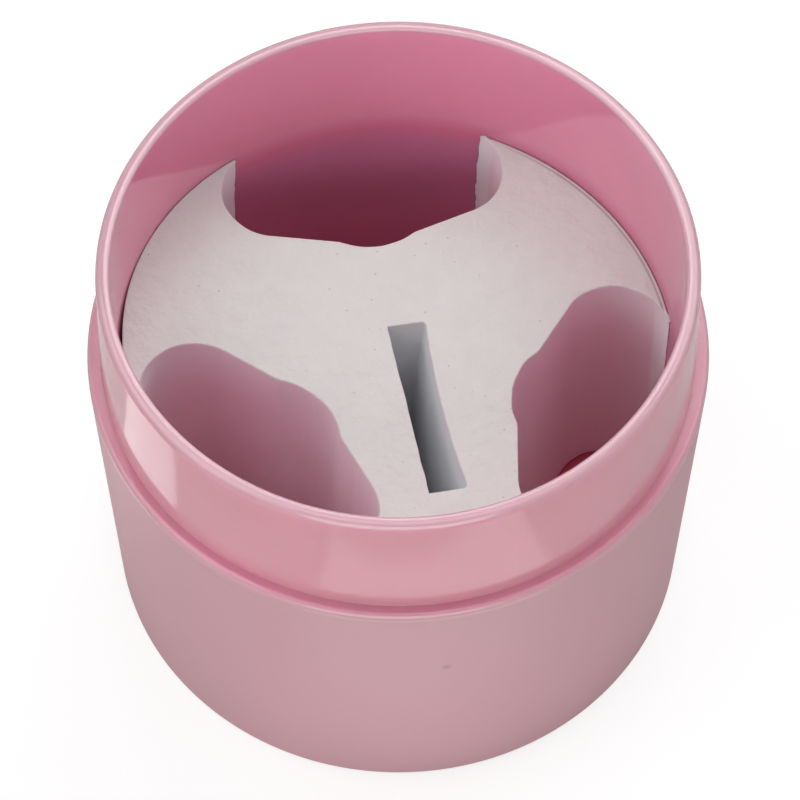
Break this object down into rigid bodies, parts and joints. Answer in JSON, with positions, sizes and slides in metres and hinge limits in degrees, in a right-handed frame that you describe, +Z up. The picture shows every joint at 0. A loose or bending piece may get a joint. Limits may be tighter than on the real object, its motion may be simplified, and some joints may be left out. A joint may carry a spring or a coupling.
{
  "type": "lash glue container",
  "caption": "Open round plastic jar with a glossy neck, a ledge for a lid, a satin body and a lift-out foam insert cut with bottle pockets and a slot.",
  "frame": {"origin": "middle of the foot ring, on the surface that the jar stands on", "axes": "+Z up out of the mouth, +Y along the slot in the foam, from its outer end to its inner end"},
  "size_m": [0.09, 0.09, 0.0745],
  "materials": {
    "satin_pink_plastic": "satin",
    "glossy_pink_plastic": "gloss",
    "white_foam": "matte"
  },
  "bodies": {
    "jar": {"outer_shell": "satin_pink_plastic", "inner_cup": "glossy_pink_plastic"},
    "insert": {"foam_insert": "white_foam"}
  },
  "joints": [
    {"name": "insert_lift", "type": "slide", "parent": "jar", "child": "insert", "axis": [0, 0, 1], "range_m": [0, 0.075]}
  ]
}
